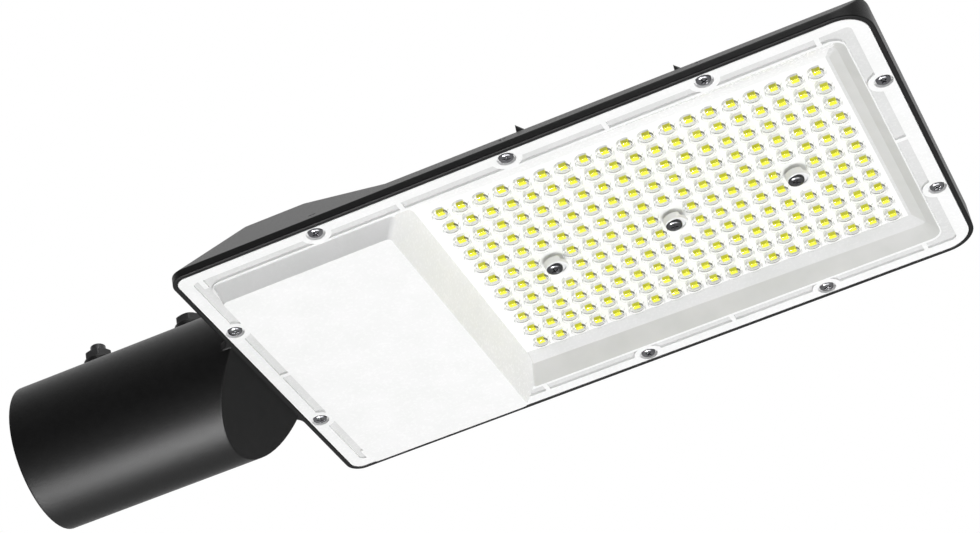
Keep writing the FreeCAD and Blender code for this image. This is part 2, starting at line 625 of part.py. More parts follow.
def fins():
    """Cooling fins that run out of the hump's slope and fall to the deck near the tip."""
    x0 = SPIGOT_REACH + HUMP_START + HUMP_LENGTH
    x1 = HEAD_X1 - FIN_END
    profile = [(x0, WALL_TOP + 1), (x0, FIN_TOP), (x1 - FIN_FALL, lean_z(x1 - FIN_FALL, DECK_H) + 11.0),
               (x1, lean_z(x1, DECK_H) - 1), (x1, WALL_TOP + 1)]
    blade = prism_y(profile, FIN_THICK / 2)
    row = []
    for i in range(FIN_COUNT):
        fin = blade.copy()
        fin.translate(Vector(0, FIN_PITCH * (i - (FIN_COUNT - 1) / 2), 0))
        row.append(fin)
    return row


def lugs():
    """Small wedges at the deck's edge."""
    row = []
    for start in LUG_START:
        x = COVER_X0 + start
        z = lean_z(x, DECK_H)
        wedge = prism_y([(x, z - 3), (x, z + LUG_RISE), (x + LUG_LENGTH, z), (x + LUG_LENGTH, z - 3)], LUG_WIDTH / 2)
        for sign in (-1, 1):
            lug = wedge.copy()
            lug.translate(Vector(0, sign * (HEAD_Y - LUG_SIDE), 0))
            row.append(lug)
    return row


def below_nose(x, z):
    """All that lies below height z and beyond the oblique plane that passes through x and z."""
    low = -SPIGOT_D
    return prism_y([(x, z), (HEAD_X1, z), (HEAD_X1, low), (x - NOSE_SLOPE * (z - low), low)], SPIGOT_D)


def spigot():
    """Tube for the pole; below the rim it ends in an oblique face."""
    return rod_x(0, SPIGOT_REACH + HUMP_START, 0, 0, SPIGOT_D).cut(below_nose(SPIGOT_REACH, RIM_Z))


def spigot_pocket():
    """Hollow behind the bore's shoulder, with walls to the oblique face and to the cover's seat."""
    pocket = rod_x(BORE_DEPTH - 1, CAVITY_X0 - WEB, 0, 0, POCKET_D)
    back = WALL * math.sqrt(1 + NOSE_SLOPE ** 2)
    return pocket.cut(below_nose(SPIGOT_REACH - back, LEDGE_Z + WALL))


def posts():
    """Cast posts and pads inside the roof, on which the inner pieces are screwed."""
    roof = HUMP_TOP - 1.0
    made = []
    for x in TRAY_POST_X:
        for y in (-TRAY_POST_Y, TRAY_POST_Y):
            made.append(rod(x, y, TRAY_POST_FOOT, roof, POST_D))
    for y in driver_ear_places():
        made.append(rod(DRIVER_X + DRIVER[0] / 2, y, DRIVER_TOP, roof, POST_D))
    for (length, width, _), x, y, z in ((SURGE, SURGE_X, SURGE_Y, SURGE_TOP),
                                        (TERMINAL, TERMINAL_X, TERMINAL_Y, TERMINAL_TOP)):
        made.append(box(x + 2, x + length - 2, y + 4, y + width - 4, z, roof))
    made.append(box(SADDLE_X, SADDLE_X + SADDLE[0], -SADDLE[1] / 2, SADDLE[1] / 2,
                    CABLE_HOLE_RISE + CABLE_D / 2, roof))
    for y in clamp_screw_places():
        made.append(box(SADDLE_X, SADDLE_X + SADDLE[0], y - 3.2, y + 3.2,
                        CABLE_HOLE_RISE - CABLE_D / 2, roof))
    made.append(rod(EARTH_X, EARTH_Y, EARTH_FOOT, roof, POST_D + 2))
    return made


def driver_ear_places():
    reach = DRIVER[1] / 2 + DRIVER_EAR / 2
    return (-reach, reach)


def clamp_screw_places():
    reach = SADDLE[1] / 2 - 3.2
    return (-reach, reach)


def screw_holes():
    """Blind threaded holes of the housing."""
    spare = 1.0
    holes = [rod(x, y, FLANGE_Z, RIM_Z + SCREW_SOCKET_DEPTH + SCREW_LENGTH + spare, SCREW_D + 0.1)
             for x, y in cover_screw_places()]
    holes += [lean(rod(x, y, GRID_Z, GRID_Z + SEAT_H + SCREW_GRIP + spare, SCREW_D + 0.1))
              for x, y in board_screw_places()]
    tapped = SMALL_SCREW_D + 0.1
    holes += [rod(x, y, TRAY_POST_FOOT, TRAY_POST_FOOT + TRAY_SCREW_LENGTH, tapped)
              for x in TRAY_POST_X for y in (-TRAY_POST_Y, TRAY_POST_Y)]
    holes += [rod(DRIVER_X + DRIVER[0] / 2, y, DRIVER_TOP, DRIVER_TOP + DRIVER_SCREW_LENGTH - 1.0, tapped)
              for y in driver_ear_places()]
    holes += [rod(SADDLE_X + SADDLE[0] / 2, y, CABLE_HOLE_RISE - CABLE_D / 2, CABLE_HOLE_RISE + 6.0, tapped)
              for y in clamp_screw_places()]
    holes.append(rod(EARTH_X, EARTH_Y, EARTH_FOOT, EARTH_FOOT + 8.0, SCREW_D + 0.1))
    return holes


def housing():
    """Die casting: spigot, rim, hump, finned deck and everything cast with them."""
    screw_towers = []
    for x, y in board_screw_places():
        top = GRID_Z + SEAT_H + SCREW_GRIP + WALL
        screw_towers.append(lean(rod(x, y, GRID_Z + SEAT_H, top, 2.4 * SCREW_D)))
    bosses = [rod(x, 0, SPIGOT_BORE_D / 2, CLAMP_BOSS_TOP, CLAMP_BOSS_D) for x in CLAMP_BOLT_X]
    body = fuse([deck(), hump(0.0), spigot()] + bosses + webs() + fins() + lugs() + screw_towers)
    cavity = slab(CAVITY_X0, CAVITY_X1, CAVITY_Y, RIM_Z - 1, HUMP_TOP, 3.0)
    roof = hump(WALL)
    low = slab(CAVITY_X0, SLANT_X, CAVITY_Y, RIM_Z - 1, WALL_TOP, 3.0)
    bay = cavity.common(lean(box(SLANT_X - WALL - BOARD_FOOT, CAVITY_X1 + WALL, -HEAD_Y, HEAD_Y, GRID_Z - CUT_OVER,
                                  GRID_Z + SEAT_H)))
    hollow = fuse([low, cavity.common(roof), bay])
    posts_in = [post.common(hollow) for post in posts()]
    seat = slab(COVER_X0 - LIP_GAP, COVER_X1 + LIP_GAP, COVER_Y + LIP_GAP, RIM_Z - 1, LEDGE_Z,
                COVER_CORNER_FOOT + LIP_GAP, COVER_CORNER + LIP_GAP)
    body = body.cut([hollow, seat])
    body = body.fuse(posts_in)
    cuts = [rod_x(-1, BORE_DEPTH, 0, 0, SPIGOT_BORE_D),
            spigot_pocket(),
            rod_x(CAVITY_X0 - WEB - 1, CAVITY_X0 + 1, 0, CABLE_HOLE_RISE, CABLE_HOLE_D),
            rod_x(VENT_FACE - 1, CAVITY_X0 + 1, VENT_Y, VENT_RISE, VENT_D),
            rod_x(SPIGOT_REACH, VENT_FACE, VENT_Y, VENT_RISE, VENT_HEAD_D + 2.0)]
    for x in CLAMP_BOLT_X:
        cuts.append(rod(x, 0, 0, SPIGOT_D, CLAMP_BOLT_D + 0.1))
    return body.cut(cuts + screw_holes()).removeSplitter()


def clamp_bolts():
    """Two bolts through the spigot's crown; their ends stop short of the bore."""
    return group([rod(x, 0, SPIGOT_BORE_D / 2 + 0.3, top, CLAMP_BOLT_D)
                  for x, top in zip(CLAMP_BOLT_X, CLAMP_BOLT_TOP)])


def lock_nuts():
    """Hexagon nuts, chamfered above, one on each clamp bolt."""
    made = []
    for x, turn in zip(CLAMP_BOLT_X, CLAMP_NUT_TURN):
        r = CLAMP_NUT_AF / math.sqrt(3)
        corners = []
        for i in range(6):
            a = math.radians(turn + 60 * i)
            corners.append(Vector(x + r * math.cos(a), r * math.sin(a), CLAMP_BOSS_TOP))
        hexagon = Part.Face(Part.makePolygon(corners + corners[:1])).extrude(Vector(0, 0, CLAMP_NUT_H))
        limit = Part.makeCone(r + CLAMP_NUT_H * 1.7, CLAMP_NUT_AF / 2 - 0.2, CLAMP_NUT_H, Vector(x, 0, CLAMP_BOSS_TOP))
        made.append(hexagon.common(limit).cut(rod(x, 0, 0, SPIGOT_D, CLAMP_BOLT_D + 0.1)))
    return group(made)


def driver_unit():
    """Potted driver with a fixing ear at each end."""
    length, width, height = DRIVER
    case = box(DRIVER_X, DRIVER_X + length, -width / 2, width / 2, DRIVER_TOP - height, DRIVER_TOP)
    middle = DRIVER_X + length / 2
    ears = box(middle - DRIVER_EAR_W / 2, middle + DRIVER_EAR_W / 2, -width / 2 - DRIVER_EAR, width / 2 + DRIVER_EAR,
               DRIVER_TOP - DRIVER_EAR_T, DRIVER_TOP)
    holes = [rod(middle, y, DRIVER_TOP - 5, DRIVER_TOP + 1, SMALL_SCREW_D + 0.4) for y in driver_ear_places()]
    return fuse([case, ears]).cut(holes)


def driver_screws():
    seat = DRIVER_TOP - DRIVER_EAR_T
    return group([screw(DRIVER_X + DRIVER[0] / 2, y, seat, SMALL_HEAD_D, SMALL_HEAD_H, SMALL_SCREW_D,
                        DRIVER_SCREW_LENGTH)
                  for y in driver_ear_places()])


def surge_protector():
    length, width, height = SURGE
    case = box(SURGE_X, SURGE_X + length, SURGE_Y, SURGE_Y + width, SURGE_TOP - height, SURGE_TOP)
    return case.makeFillet(1.5, [e for e in case.Edges if abs(e.Vertexes[0].Z - e.Vertexes[1].Z) > 1])


def terminal_block():
    """Three-way terminal with its wire funnels towards the driver."""
    length, width, height = TERMINAL
    z0 = TERMINAL_TOP - height
    body = box(TERMINAL_X, TERMINAL_X + length, TERMINAL_Y, TERMINAL_Y + width, z0, TERMINAL_TOP)
    ways = []
    for x in terminal_ways():
        ways.append(box(x - 3, x + 3, TERMINAL_Y + width - LEAD_IN, TERMINAL_Y + width + 1,
                        TERMINAL_TOP - height / 2 - 1, TERMINAL_TOP - 1))
        ways.append(rod(x, TERMINAL_Y + width / 2, z0 - 1, z0 + 4, 4.0))
    end = earth_pocket()
    ways.append(box(TERMINAL_X - 1, TERMINAL_X + 2.5, end.y - 3, end.y + 3, end.z - 2, end.z + 2))
    return body.cut(ways)


def cable_strap():
    z1 = CABLE_HOLE_RISE - CABLE_D / 2
    strap = box(SADDLE_X, SADDLE_X + SADDLE[0], -SADDLE[1] / 2, SADDLE[1] / 2, z1 - STRAP_T, z1)
    return strap.cut([rod(SADDLE_X + SADDLE[0] / 2, y, z1 - 5, z1 + 1, SMALL_SCREW_D + 0.4)
                      for y in clamp_screw_places()])


def strap_screws():
    seat = CABLE_HOLE_RISE - CABLE_D / 2 - STRAP_T
    return group([screw(SADDLE_X + SADDLE[0] / 2, y, seat, SMALL_HEAD_D, SMALL_HEAD_H, SMALL_SCREW_D, 10.0)
                  for y in clamp_screw_places()])


def cable_grommet():
    """Rubber ring in the web between pocket and compartment, with a collar on each side."""
    x0, x1 = CAVITY_X0 - WEB, CAVITY_X0
    sleeve = rod_x(x0 - COLLAR, x1 + COLLAR, 0, CABLE_HOLE_RISE, CABLE_HOLE_D - 2 * FIT)
    collars = [rod_x(x, x + COLLAR, 0, CABLE_HOLE_RISE, CABLE_HOLE_D + 2 * COLLAR) for x in (x0 - COLLAR, x1)]
    return fuse([sleeve] + collars).cut(rod_x(x0 - 5, x1 + 5, 0, CABLE_HOLE_RISE, CABLE_D))


def earth_screw():
    return screw(EARTH_X, EARTH_Y, EARTH_FOOT - EARTH_LUG_T, SCREW_HEAD_D, SCREW_HEAD_H, SCREW_D, 8.0)


def earth_pocket():
    """Where the earth lead ends, just inside the terminal's end."""
    return Vector(TERMINAL_X + 1.0, TERMINAL_Y + TERMINAL[1] / 2, EARTH_FOOT - 2.0)


def earth_lug():
    """Ring lug under the earth screw, with its barrel towards the terminal."""
    z1 = EARTH_FOOT
    z0 = z1 - EARTH_LUG_T
    ring = rod(EARTH_X, EARTH_Y, z0, z1, 9.0)
    tail = box(EARTH_X, EARTH_X + EARTH_LUG_LENGTH - 4.0, EARTH_Y - 2, EARTH_Y + 2, z0, z1)
    barrel = rod_x(EARTH_X + EARTH_LUG_LENGTH - 6.0, EARTH_X + EARTH_LUG_LENGTH, EARTH_Y, EARTH_FOOT - 2.0, 4.0)
    lug = fuse([ring, tail, barrel]).cut(rod(EARTH_X, EARTH_Y, 0, EARTH_FOOT + 1, SCREW_D + 0.4))
    end = earth_pocket()
    lug.rotate(Vector(EARTH_X, EARTH_Y, 0), Vector(0, 0, 1),
               math.degrees(math.atan2(end.y - EARTH_Y, end.x - EARTH_X)))
    return lug


def breather_vent():
    """Membrane plug in the hump's end wall, beside the spigot."""
    stem = rod_x(VENT_FACE - 1, CAVITY_X0 + 1, VENT_Y, VENT_RISE, VENT_D - 0.1)
    head = rod_x(VENT_FACE - VENT_HEAD_T, VENT_FACE, VENT_Y, VENT_RISE, VENT_HEAD_D)
    return fuse([stem, head]).cut(rod_x(VENT_FACE + 1, CAVITY_X0 + 5, VENT_Y, VENT_RISE, VENT_D - 4))


def lead(start, end):
    """Insulated wire, drawn straight between its two ends."""
    run = Vector(*end) - Vector(*start)
    return Part.makeCylinder(LEAD_D / 2, run.Length, Vector(*start), run)


def terminal_ways():
    """X of the terminal's wire funnels."""
    length = TERMINAL[0]
    return [TERMINAL_X + length * (i + 0.5) / TERMINAL_WAYS for i in range(TERMINAL_WAYS)]


def mains_leads():
    """From the terminal to the driver's end face."""
    z = TERMINAL_TOP - TERMINAL[2] / 2 + 3.0
    y0 = TERMINAL_Y + TERMINAL[1] - LEAD_IN
    return group([lead((x, y0, z), (x, -DRIVER[1] / 2, z)) for x in terminal_ways()])


def surge_leads():
    """From the terminal's end to the surge protector's side."""
    z = TERMINAL_TOP - TERMINAL[2] / 2
    x0 = TERMINAL_X + TERMINAL[0]
    return group([lead((x0, TERMINAL_Y + y, z), (SURGE_X, TERMINAL_Y + y, z)) for y in (5.0, 9.0)])


def led_leads():
    """From the driver's side to the connector under the board's tongue."""
    x1 = BOARD_X0 - TONGUE_LENGTH + 1.5
    z0 = DRIVER_TOP - DRIVER[2] + 5.0
    z1 = lean_z(x1, BOARD_H) - CONNECTOR_H / 2
    return group([lead((DRIVER_X + DRIVER[0] + LEAD_GAP, y, z0), (x1, y, z1))
                  for y in (-LED_LEAD_SPREAD / 2, LED_LEAD_SPREAD / 2)])


def earth_lead():
    """From the earth lug's barrel to the pocket in the terminal's end."""
    end = earth_pocket()
    start = Vector(EARTH_X, EARTH_Y, end.z)
    start += (end - start).normalize() * EARTH_LUG_LENGTH
    return lead(start, end)


def build():
    """Every piece of the head by the name of its node."""
    return {
        "housing": housing(),
        "lens_cover": lens_cover(),
        "cover_gasket": cover_gasket(),
        "cover_screws": cover_screws(),
        "bay_liner": bay_liner(),
        "led_board": led_board(),
        "led_chips": led_chips(),
        "thermal_pad": thermal_pad(),
        "board_connector": board_connector(),
        "board_screws": board_screws(),
        "driver_tray": driver_tray(),
        "tray_screws": tray_screws(),
        "driver_unit": driver_unit(),
        "driver_screws": driver_screws(),
        "surge_protector": surge_protector(),
        "terminal_block": terminal_block(),
        "cable_grommet": cable_grommet(),
        "cable_strap": cable_strap(),
        "strap_screws": strap_screws(),
        "earth_screw": earth_screw(),
        "earth_lug": earth_lug(),
        "earth_lead": earth_lead(),
        "mains_leads": mains_leads(),
        "surge_leads": surge_leads(),
        "led_leads": led_leads(),
        "breather_vent": breather_vent(),
        "clamp_bolts": clamp_bolts(),
        "lock_nuts": lock_nuts(),
    }


os.makedirs("parts", exist_ok=True)
for name, shape in build().items():
    shape.exportStep("parts/" + name + ".step")
    size = shape.BoundBox
    print(name, len(shape.Solids), "solids", round(shape.Volume / 1000, 2), "cm3", shape.isValid(),
          [round(v, 1) for v in (size.XMin, size.XMax, size.YMin, size.YMax, size.ZMin, size.ZMax)])
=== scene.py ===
"""Looks of the LED street light head: finishes, clear lens cover, fastenings, light and camera.

Everything is in metres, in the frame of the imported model: the spigot's mouth at the origin, +X to the
tip and +Z up.
"""
import json
import math

import bmesh
import bpy
from mathutils import Matrix, Vector
from mathutils.geometry import delaunay_2d_cdt

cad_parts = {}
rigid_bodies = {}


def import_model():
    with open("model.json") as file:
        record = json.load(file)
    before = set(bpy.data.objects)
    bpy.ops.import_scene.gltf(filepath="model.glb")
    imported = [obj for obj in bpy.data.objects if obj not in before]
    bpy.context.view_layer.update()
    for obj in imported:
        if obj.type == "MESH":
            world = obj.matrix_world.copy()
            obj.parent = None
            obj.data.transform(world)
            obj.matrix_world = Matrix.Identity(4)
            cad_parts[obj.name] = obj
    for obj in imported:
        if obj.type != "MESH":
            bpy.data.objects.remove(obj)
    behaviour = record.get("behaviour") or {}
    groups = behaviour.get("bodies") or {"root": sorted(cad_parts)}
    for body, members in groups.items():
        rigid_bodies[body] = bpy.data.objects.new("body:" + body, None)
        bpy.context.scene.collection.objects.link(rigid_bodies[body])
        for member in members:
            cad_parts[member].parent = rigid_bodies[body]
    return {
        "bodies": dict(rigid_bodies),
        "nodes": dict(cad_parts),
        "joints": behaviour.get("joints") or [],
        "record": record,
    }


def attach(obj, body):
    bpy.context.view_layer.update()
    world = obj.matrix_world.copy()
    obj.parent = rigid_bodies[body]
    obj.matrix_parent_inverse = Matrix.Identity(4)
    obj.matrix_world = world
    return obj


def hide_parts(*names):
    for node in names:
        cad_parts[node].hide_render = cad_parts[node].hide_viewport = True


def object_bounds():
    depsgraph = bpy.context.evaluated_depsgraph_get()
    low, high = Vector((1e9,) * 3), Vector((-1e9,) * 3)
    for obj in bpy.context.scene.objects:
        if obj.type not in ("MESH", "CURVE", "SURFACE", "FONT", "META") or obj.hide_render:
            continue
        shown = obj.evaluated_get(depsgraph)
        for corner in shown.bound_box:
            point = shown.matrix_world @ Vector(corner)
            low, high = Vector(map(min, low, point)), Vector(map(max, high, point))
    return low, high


MM = 0.001
WELD = 1e-7                     # corners closer than this are one
SLACK = 0.02 * MM               # a face this close to a level lies in it
CRISP = 15                      # degrees from which an edge is shown crisp

# Camera, as fitted to the photograph; lens and sensor in millimetres
CAMERA_AT = (0.5551, -1.0702, -0.7711)
CAMERA_RIGHT = (0.9093, 0.3818, -0.1655)
CAMERA_DOWN = (-0.3498, 0.4861, -0.8008)
CAMERA_FORWARD = (-0.2253, 0.7861, 0.5756)
CAMERA_LENS = 102.29
CAMERA_SENSOR = 36.0

# Square lamps: direction, distance, side and watts
LAMP_BELOW = ((0.23, 0.04, -0.97), 2.0, 1.0, 23.6)
LAMP_ABOVE = ((0.3, -0.5, 1.0), 2.2, 1.6, 40)
LAMP_GLINT = ((-0.24, -0.06, -0.97), 2.0, 0.7, 115)

# Floor and world
FLOOR_Z = -3.5
FLOOR_HALF = 12.0
WORLD_LIGHT = 0.62              # what matt faces get
MIRROR_LOW = 0.4                # what shiny faces mirror from below,
MIRROR_HIGH = 1.1               # from above
MIRROR_RISE = (-0.1, 0.4)       # and heights of the direction between the two
MIRROR_FRONT = 0.25             # part of it that is left on the camera's side
MIRROR_DEPTH = (-0.6, 0.35)     # from the camera's side to the far side, along Y
GLOW_AT = (-0.22, 0.60, -0.77)  # direction of what the screw heads' near halves mirror
GLOW = 4.5
GLOW_SPAN = (0.88, 0.95)        # cosines from the glow's rim to its full strength

# Finishes
NOISE_SPAN = (0.3, 0.7)         # the part of the noise's range that roughness follows
COLOUR_SPAN = (0.35, 0.65)      # and that colours follow
NOISE_DETAIL = 3.0
BROAD = 12                      # colours vary this much more broadly than the relief
BEVEL_SAMPLES = 8

# Lens plate, with heights over its face: below it, towards the light, they are negative
PLATE = 1.8 * MM
BOARD_GAP = 0.4 * MM            # from the plate's back to the board
BOSS_R = 6.3 * MM               # clear boss under each board screw
LENS_EDGE = 5 * MM              # no lens reaches farther than this beyond the outer chips' centres
WHITE_EDGE = 0.5 * MM           # the plate is frosted from this far beyond them,
SHADE_EDGE = 6.5 * MM           # and from here the far sides get painted shade
GROOVE_FLOOR = -3.45 * MM       # Z of the floor of the groove round the flange
GROOVE_STEP = 0.3 * MM          # what lies higher over that floor is part of the recess
LEVEL = 0.97                    # cosine of the lean up to which a face counts as level
FACING = 0.2                    # part of a normal from which a face counts as turned that way

# Material numbers of the cover
CLEAR, WHITE, SHADED_FLANK, PAINTED_REFLECTION, PAINTED_SHADE_GREY, SHADED_SLOPE, FROST = range(7)

# Arcs of a round form, in degrees
CLEAR_ARC = (-120, 10)          # where a flank stays clear; elsewhere it gets a grey tint of painted shade
REFLECTION_ARC = (-52, 22)            # painted reflection: near black where a hollow's shoulder would mirror the dark housing, widely
THIN_REFLECTION_ARC = (55, 165)            # and thinly
PAINTED_GLINT_ARC = (-44, 8)            # where a painted highlight glints: a white arc inside the dark one

# Paints of a round form: the plain material number, then arcs with numbers of their own
ALL_CLEAR = (CLEAR, ())
# The grey flank tint is painted shade, left out on the clear arc
SHADED_FLANK_PAINT = (SHADED_FLANK, ((CLEAR_ARC, CLEAR),))
# The dark arcs are painted reflections of the housing, tinted near black
REFLECTION_PAINT = (CLEAR, ((REFLECTION_ARC, PAINTED_REFLECTION),))
REFLECTION_PAINT_TWICE = (CLEAR, ((REFLECTION_ARC, PAINTED_REFLECTION), (THIN_REFLECTION_ARC, PAINTED_REFLECTION)))
# A white arc paints a highlight on the hollow's shoulder
PAINTED_GLINT = (CLEAR, ((PAINTED_GLINT_ARC, WHITE),))

# Lenses and the hollows in their backs: each storey has a scale, a part of the height and a paint
LENS_SEGMENTS = 28
LENS_ANGLE = 60                 # degrees from which an edge of a lens is shown crisp
LENS_HALF = (4.5 * MM, 4.1 * MM)
LENS_TOP = -3.1 * MM
LENS_SHAPE = ((0.99, 0.45, SHADED_FLANK_PAINT), (0.98, 0.82, ALL_CLEAR), (0.92, 0.94, SHADED_FLANK_PAINT),
              (0.80, 0.99, ALL_CLEAR), (0.5, 1.0, ALL_CLEAR))
MOUTH_HALF = (4.3 * MM, 4.1 * MM)
POCKET_HALF = (MOUTH_HALF[0] * 0.8, MOUTH_HALF[1] * 0.8)
POCKET_TOP = -2.2 * MM
POCKET_SHAPE = ((1.0, -0.4, SHADED_FLANK_PAINT), (0.99, 0.35, SHADED_FLANK_PAINT), (0.985, 0.72, REFLECTION_PAINT),
                (0.955, 0.94, REFLECTION_PAINT_TWICE), (0.88, 0.98, PAINTED_GLINT), (0.80, 1.0, REFLECTION_PAINT))

# Chip packages, which stand up into the hollows, and their material numbers
CHIP_H = 0.35 * MM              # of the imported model's flat chips
CHIP_HALF = (1.8 * MM, 1.5 * MM)
CHIP_COLLAR = 0.8 * MM          # white up to here, then yellow
CHIP_FACE = -1.15 * MM
CHIP_BEVEL = 0.25 * MM
YELLOW, COLLAR, SHADED_OLIVE = range(3)

# Pan heads: radius and height, then the cross recess and the shoulder
COVER_HEAD = (3.6 * MM, 2.0 * MM)
BOARD_HEAD = (4.05 * MM, 2.0 * MM)
BOARD_SHIFT = 1.2 * MM          # the board screws sit this far towards the spigot on their bosses
CROSS_HALF = 0.42 * MM
CROSS_REACH = 1.9 * MM
CROSS_DEPTH = 1.1 * MM
CROSS_TAPER = (0.7, 0.55)       # of its width and reach, down to the bottom
HEAD_SHAPE = ((0.90, 1.0), (1.0, 0.93), (1.0, 0.55), (0.965, 0.32), (0.88, 0.16), (0.76, 0.05),
              (0.62, 0.0))
HEAD_SEGMENTS = 40
HEAD_ANGLE = 38                 # degrees from which an edge of a screw is shown crisp
HEAD_TURN = (0.6, 1.9)          # radians: the first screw's turn, and from one screw to the next
SHANK_R = 1.99 * MM
SHANK_SEGMENTS = 24

# Lock nuts
NUT_HALF = 6.5 * MM             # half the width across flats
NUT_LAND = NUT_HALF * 0.97      # radius of the flat on both ends
NUT_CHAMFER = 0.577             # rise of the chamfer per radius
NUT_BORE = 4.05 * MM
NUT_H = 5.0 * MM
NUT_TURN = math.radians(-67)    # a corner looks at the camera
NUT_SEGMENTS = 72


def new_material(name):
    """An empty material with its nodes, a Principled shader and the output."""
    material = bpy.data.materials.new(name)
    material.use_nodes = True
    tree = material.node_tree
    tree.nodes.clear()
    output = tree.nodes.new("ShaderNodeOutputMaterial")
    surface = tree.nodes.new("ShaderNodeBsdfPrincipled")
    tree.links.new(surface.outputs["BSDF"], output.inputs["Surface"])
    return material, tree, surface, output


def grain(tree, waves):
    """Noise over the object's own coordinates, in waves per metre."""
    where = tree.nodes.new("ShaderNodeTexCoord")
    noise = tree.nodes.new("ShaderNodeTexNoise")
    noise.inputs["Scale"].default_value = waves
    noise.inputs["Detail"].default_value = NOISE_DETAIL
    tree.links.new(where.outputs["Object"], noise.inputs["Vector"])
    return noise.outputs["Fac"]


def map_range(tree, source, span, values, kind="LINEAR"):
    """Maps a span of numbers to a run between two values."""
    node = tree.nodes.new("ShaderNodeMapRange")
    node.interpolation_type = kind
    node.inputs["From Min"].default_value = span[0]
    node.inputs["From Max"].default_value = span[1]
    node.inputs["To Min"].default_value = values[0]
    node.inputs["To Max"].default_value = values[1]
    tree.links.new(source, node.inputs["Value"])
    return node.outputs["Result"]


def two_colours(tree, source, first, second):
    """Maps noise to a run between two colours."""
    ramp = tree.nodes.new("ShaderNodeValToRGB")
    for element, position, colour in zip(ramp.color_ramp.elements, COLOUR_SPAN, (first, second)):
        element.position = position
        element.color = (*colour, 1)
    tree.links.new(source, ramp.inputs["Fac"])
    return ramp.outputs["Color"]


def bump(tree, surface, source, relief, edge):
    """Relief from noise, over edges that are rounded to a radius."""
    node = tree.nodes.new("ShaderNodeBump")
    node.inputs["Strength"].default_value = 1.0
    node.inputs["Distance"].default_value = relief
    tree.links.new(source, node.inputs["Height"])
    if edge:
        round_edge = tree.nodes.new("ShaderNodeBevel")
        round_edge.samples = BEVEL_SAMPLES
        round_edge.inputs["Radius"].default_value = edge
        tree.links.new(round_edge.outputs["Normal"], node.inputs["Normal"])
    tree.links.new(node.outputs["Normal"], surface.inputs["Normal"])


def either(tree, first, second):
    """One where either of two flags of the light path is."""
    node = tree.nodes.new("ShaderNodeMath")
    node.operation = "MAXIMUM"
    tree.links.new(first, node.inputs[0])
    tree.links.new(second, node.inputs[1])
    return node.outputs[0]


def mix(tree, factor, first, second):
    """The first shader where the factor is nought, the second where it is one."""
    node = tree.nodes.new("ShaderNodeMixShader")
    for i, source in enumerate((factor, first, second)):
        tree.links.new(source, node.inputs[i])
    return node.outputs["Shader"]


def finish(name, first, second, rough, waves, relief, edge=0.0, metallic=0.0, specular=0.5):
    """A plain finish that varies in colour, roughness and relief."""
    material, tree, surface, _ = new_material(name)
    surface.inputs["Metallic"].default_value = metallic
    surface.inputs["Specular IOR Level"].default_value = specular
    broad = grain(tree, waves / BROAD)
    fine = grain(tree, waves)
    tree.links.new(two_colours(tree, broad, first, second), surface.inputs["Base Color"])
    tree.links.new(map_range(tree, fine, NOISE_SPAN, rough), surface.inputs["Roughness"])
    bump(tree, surface, fine, relief, edge)
    return material


def black_casting():
    """Fine-textured powder coat."""
    return finish("black_casting", (0.0035, 0.0035, 0.0036), (0.0050, 0.0050, 0.0052), (0.38, 0.46),
                  waves=2600, relief=0.09 * MM, edge=1.2 * MM, specular=0.16)


def blackened_steel():
    """Oiled black oxide."""
    return finish("blackened_steel", (0.010, 0.010, 0.011), (0.022, 0.022, 0.023), (0.30, 0.42),
                  waves=1800, relief=0.04 * MM, edge=0.4 * MM, specular=0.45)


def metal(name, first, second, rough):
    """Bare or plated metal."""
    return finish(name, first, second, rough, waves=2500, relief=0.01 * MM, edge=0.2 * MM, metallic=1.0)


def plastic(name, colour, rough=(0.35, 0.5)):
    """Coloured plastic or rubber of the inner pieces."""
    lighter = tuple(min(c * 1.2 + 0.004, 1.0) for c in colour)
    return finish(name, colour, lighter, rough, waves=1200, relief=0.02 * MM, edge=0.3 * MM)


def white_plastic():
    """Smooth white, as of the faces seen through the clear cover."""
    return finish("white_plastic", (0.83, 0.835, 0.83), (0.86, 0.86, 0.86), (0.22, 0.30),
                  waves=700, relief=0.002 * MM, specular=0.15)


def white_sheet():
    """Satin white of the tray and the frame round the board."""
    return finish("white_sheet", (0.80, 0.81, 0.80), (0.84, 0.84, 0.84), (0.35, 0.45),
                  waves=900, relief=0.02 * MM)


def white_board():
    """White solder mask."""
    return finish("white_board", (0.90, 0.91, 0.90), (0.93, 0.93, 0.93), (0.35, 0.45),
                  waves=900, relief=0.01 * MM)


def silicone():
    """Matt pale rubber."""
    return finish("silicone", (0.70, 0.71, 0.70), (0.76, 0.76, 0.76), (0.5, 0.6),
                  waves=500, relief=0.03 * MM)


def phosphor(name, first, second):
    """Phosphor in resin."""
    return finish(name, first, second, (0.45, 0.55), waves=3000, relief=0.01 * MM, specular=0.1)


def grey_painted_shade():
    """Painted shade: a greyer white on the groove round the flange and on the steps on the far sides."""
    return finish("grey_painted_shade", (0.66, 0.665, 0.66), (0.70, 0.70, 0.70), (0.22, 0.30),
                  waves=700, relief=0.002 * MM, specular=0.2)


def slope_painted_shade():
    """Painted shade: a darker white, without gloss, on the slopes that face away from the light."""
    return finish("slope_painted_shade", (0.60, 0.605, 0.59), (0.64, 0.64, 0.63), (0.5, 0.6),
                  waves=700, relief=0.002 * MM, specular=0.0)


def let_light_in(tree, surface, output):
    """Lamps and bounced light pass straight through to what is behind."""
    path = tree.nodes.new("ShaderNodeLightPath")
    through = either(tree, path.outputs["Is Shadow Ray"], path.outputs["Is Diffuse Ray"])
    clear = tree.nodes.new("ShaderNodeBsdfTransparent")
    mixed = mix(tree, through, surface.outputs["BSDF"], clear.outputs["BSDF"])
    tree.links.new(mixed, output.inputs["Surface"])


